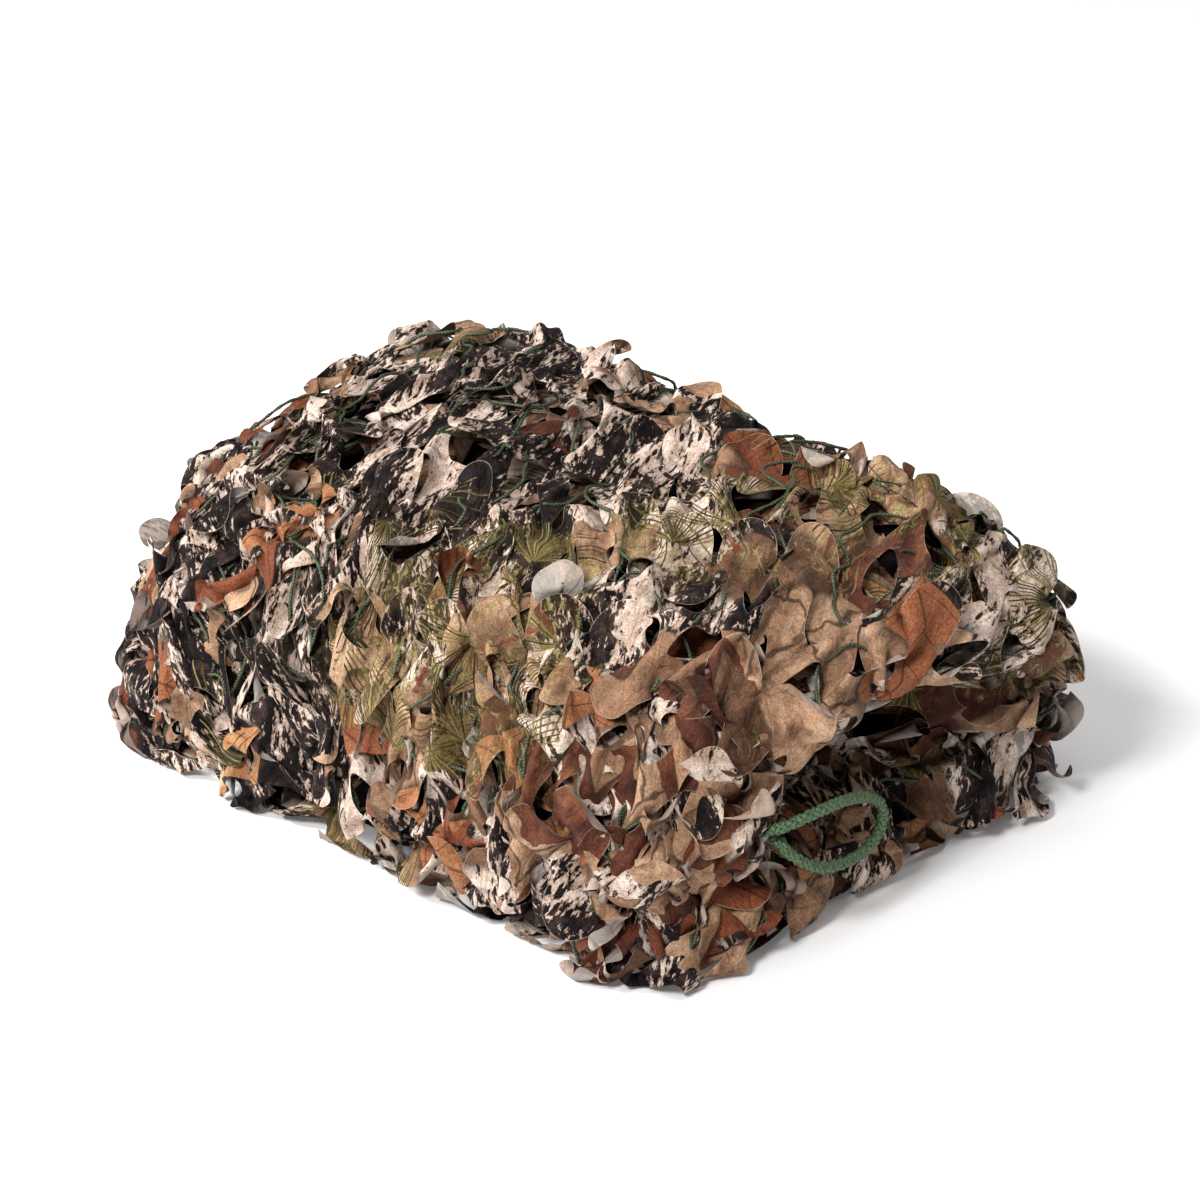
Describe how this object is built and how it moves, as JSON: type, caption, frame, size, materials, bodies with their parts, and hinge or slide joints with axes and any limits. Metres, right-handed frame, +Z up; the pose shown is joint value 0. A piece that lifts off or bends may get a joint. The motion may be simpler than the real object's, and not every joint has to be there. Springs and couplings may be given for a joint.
{
  "type": "camouflage net",
  "caption": "Leaf-cut camouflage net of printed cloth on a twine mesh, folded back and forth into a low crowned bundle, with a braided cord loop at one corner",
  "frame": {"origin": "middle of the underside of the folded bundle, on the surface it stands on", "axes": "+X along the bundle's long side, towards the end with the cord loop; +Y across it, away from the side nearest the loop; +Z up"},
  "size_m": [0.4767, 0.3314, 0.1924],
  "materials": {
    "printed_cloth": "thin woven polyester, matt, printed in bark, leaf and grass colours, with a paler reverse and heat-cut edges",
    "cord": "braided polypropylene cord, green, slightly fuzzy, with a dull sheen"
  },
  "bodies": {
    "root": {"folded_net": "printed_cloth", "corner_loop": "cord"}
  },
  "joints": []
}
